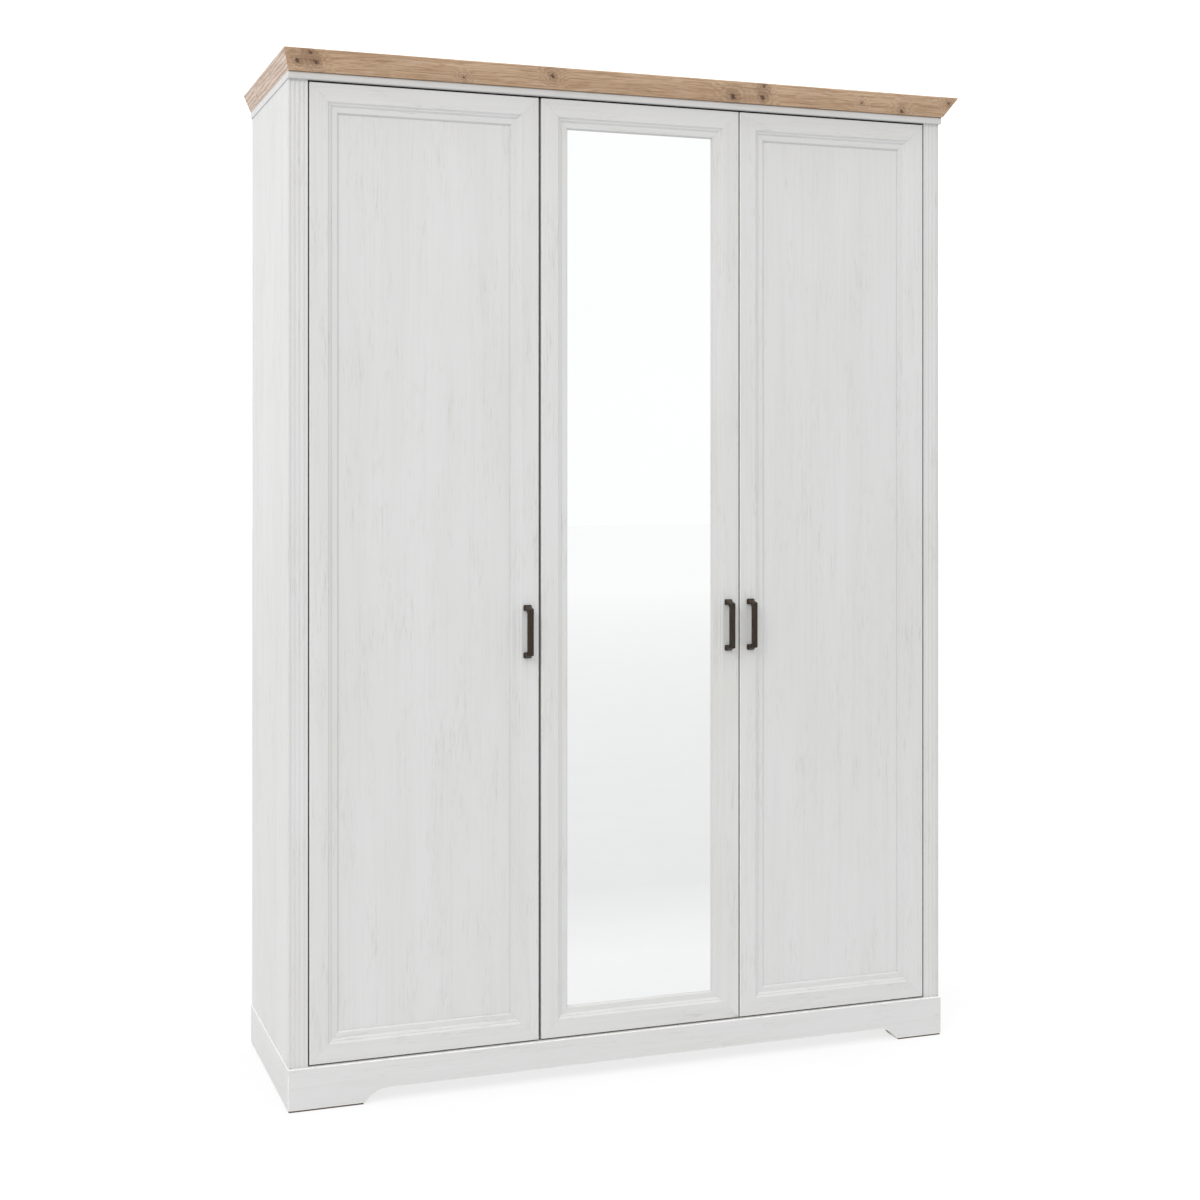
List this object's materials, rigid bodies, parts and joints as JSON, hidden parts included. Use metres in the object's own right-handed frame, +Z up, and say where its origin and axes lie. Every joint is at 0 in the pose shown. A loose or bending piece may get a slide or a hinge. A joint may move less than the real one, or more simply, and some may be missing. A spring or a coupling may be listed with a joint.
{
  "type": "wardrobe",
  "caption": "Tall wardrobe with inset framed doors, a mirror in the middle door, bow handles, fluted corner posts, a bracket plinth and a flared cornice.",
  "frame": {"origin": "on the floor, at the centre of the wardrobe's overall footprint", "axes": "+X along the front from left to right, +Y from front to back, +Z up"},
  "size_m": [1.467, 0.5, 2.05],
  "materials": {
    "white_pine_decor": "satin white pine decor with soft vertical streaks",
    "oak_decor": "satin knotty oak decor",
    "mirror": "polished silvered glass",
    "antique_metal": "dark antique with worn bronze edges",
    "nickel_fittings": "nickel plated",
    "chrome_rail": "polished",
    "hardboard": "white faced hardboard",
    "raw_board": "raw particle board",
    "white_plastic": "extruded plastic",
    "clear_bumper": "soft translucent",
    "dark_glide": "dark moulded"
  },
  "bodies": {
    "carcass": {"side_panel_left": "white_pine_decor", "side_panel_right": "white_pine_decor", "partition_panel": "white_pine_decor", "bottom_panel": "white_pine_decor", "top_board": "white_pine_decor", "top_stop_rail": "white_pine_decor", "corner_post_left": "white_pine_decor", "corner_post_right": "white_pine_decor", "hinge_strip_left": "white_pine_decor", "hinge_strip_right": "white_pine_decor", "back_panel_left": "hardboard", "back_panel_right": "hardboard", "back_joint_strip": "white_plastic", "plinth_front": "white_pine_decor", "plinth_side_left": "white_pine_decor", "plinth_side_right": "white_pine_decor", "plinth_rear_rail": "white_pine_decor", "plinth_corner_blocks": "raw_board", "floor_glides": "dark_glide", "cornice_front": "oak_decor", "cornice_side_left": "oak_decor", "cornice_side_right": "oak_decor", "shelf_1": "white_pine_decor", "shelf_2": "white_pine_decor", "shelf_3": "white_pine_decor", "hat_shelf": "white_pine_decor", "clothes_rail": "chrome_rail", "rail_flanges": "chrome_rail", "shelf_pins": "nickel_fittings", "hinge_plates": "nickel_fittings", "hinge_arms": "nickel_fittings", "door_bumpers": "clear_bumper"},
    "door_left": {"door_left_hinge_stile": "white_pine_decor", "door_left_handle_stile": "white_pine_decor", "door_left_top_rail": "white_pine_decor", "door_left_bottom_rail": "white_pine_decor", "door_left_panel": "white_pine_decor", "door_left_handle": "antique_metal", "door_left_handle_screws": "nickel_fittings", "door_left_hinge_cups": "nickel_fittings"},
    "door_middle": {"door_middle_hinge_stile": "white_pine_decor", "door_middle_handle_stile": "white_pine_decor", "door_middle_top_rail": "white_pine_decor", "door_middle_bottom_rail": "white_pine_decor", "door_middle_backing": "hardboard", "mirror_glass": "mirror", "door_middle_handle": "antique_metal", "door_middle_handle_screws": "nickel_fittings", "door_middle_hinge_cups": "nickel_fittings"},
    "door_right": {"door_right_hinge_stile": "white_pine_decor", "door_right_handle_stile": "white_pine_decor", "door_right_top_rail": "white_pine_decor", "door_right_bottom_rail": "white_pine_decor", "door_right_panel": "white_pine_decor", "door_right_handle": "antique_metal", "door_right_handle_screws": "nickel_fittings", "door_right_hinge_cups": "nickel_fittings"},
    "hinge_links_left": {"door_left_hinge_links": "nickel_fittings"},
    "hinge_links_middle": {"door_middle_hinge_links": "nickel_fittings"},
    "hinge_links_right": {"door_right_hinge_links": "nickel_fittings"}
  },
  "joints": [
    {"name": "door_left_hinge", "type": "hinge", "parent": "carcass", "child": "door_left", "pos_m": [-0.67, -0.194, 1.04], "axis": [0, 0, -1], "range_deg": [0, 95]},
    {"name": "hinge_links_left_turn", "type": "hinge", "parent": "carcass", "child": "hinge_links_left", "pos_m": [-0.665, -0.171, 1.04], "axis": [0, 0, -1], "range_deg": [0, 41.8]},
    {"name": "door_middle_hinge", "type": "hinge", "parent": "carcass", "child": "door_middle", "pos_m": [-0.197, -0.194, 1.04], "axis": [0, 0, -1], "range_deg": [0, 95]},
    {"name": "hinge_links_middle_turn", "type": "hinge", "parent": "carcass", "child": "hinge_links_middle", "pos_m": [-0.192, -0.171, 1.04], "axis": [0, 0, -1], "range_deg": [0, 41.8]},
    {"name": "door_right_hinge", "type": "hinge", "parent": "carcass", "child": "door_right", "pos_m": [0.67, -0.194, 1.04], "axis": [0, 0, 1], "range_deg": [0, 95]},
    {"name": "hinge_links_right_turn", "type": "hinge", "parent": "carcass", "child": "hinge_links_right", "pos_m": [0.665, -0.171, 1.04], "axis": [0, 0, 1], "range_deg": [0, 41.8]}
  ],
  "couplings": [
    {"joint": "hinge_links_left_turn", "follows": "door_left_hinge", "ratio": 0.44},
    {"joint": "hinge_links_middle_turn", "follows": "door_middle_hinge", "ratio": 0.44},
    {"joint": "hinge_links_right_turn", "follows": "door_right_hinge", "ratio": 0.44}
  ]
}
